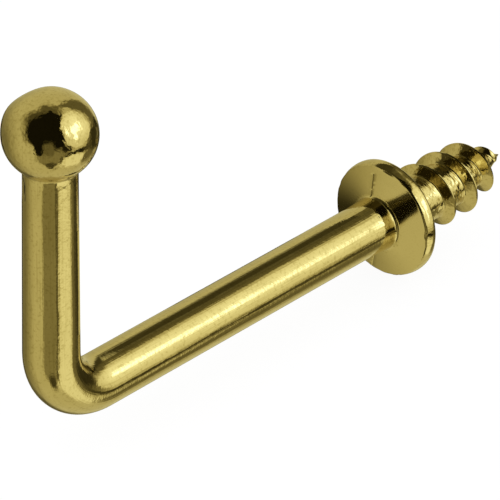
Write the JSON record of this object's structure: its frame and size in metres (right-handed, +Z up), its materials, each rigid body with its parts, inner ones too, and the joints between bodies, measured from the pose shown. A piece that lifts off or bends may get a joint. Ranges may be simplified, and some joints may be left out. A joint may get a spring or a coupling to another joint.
{
  "type": "ball end screw hook",
  "caption": "Right-angled wire hook with a ball end, a round collar that bears on the wall and a wood screw thread with a pointed tip.",
  "frame": {"origin": "centre of the collar's flat seat, which bears on the wall", "axes": "+Y along the screw into the wall, -Y along the arm out of the wall, +Z up along the leg to the ball, +X sideways"},
  "size_m": [0.009, 0.0513, 0.0292],
  "materials": {
    "brass_plate": "polished brass plating on wire, fine pits and rolling marks"
  },
  "bodies": {
    "root": {"hook": "brass_plate"}
  },
  "joints": []
}
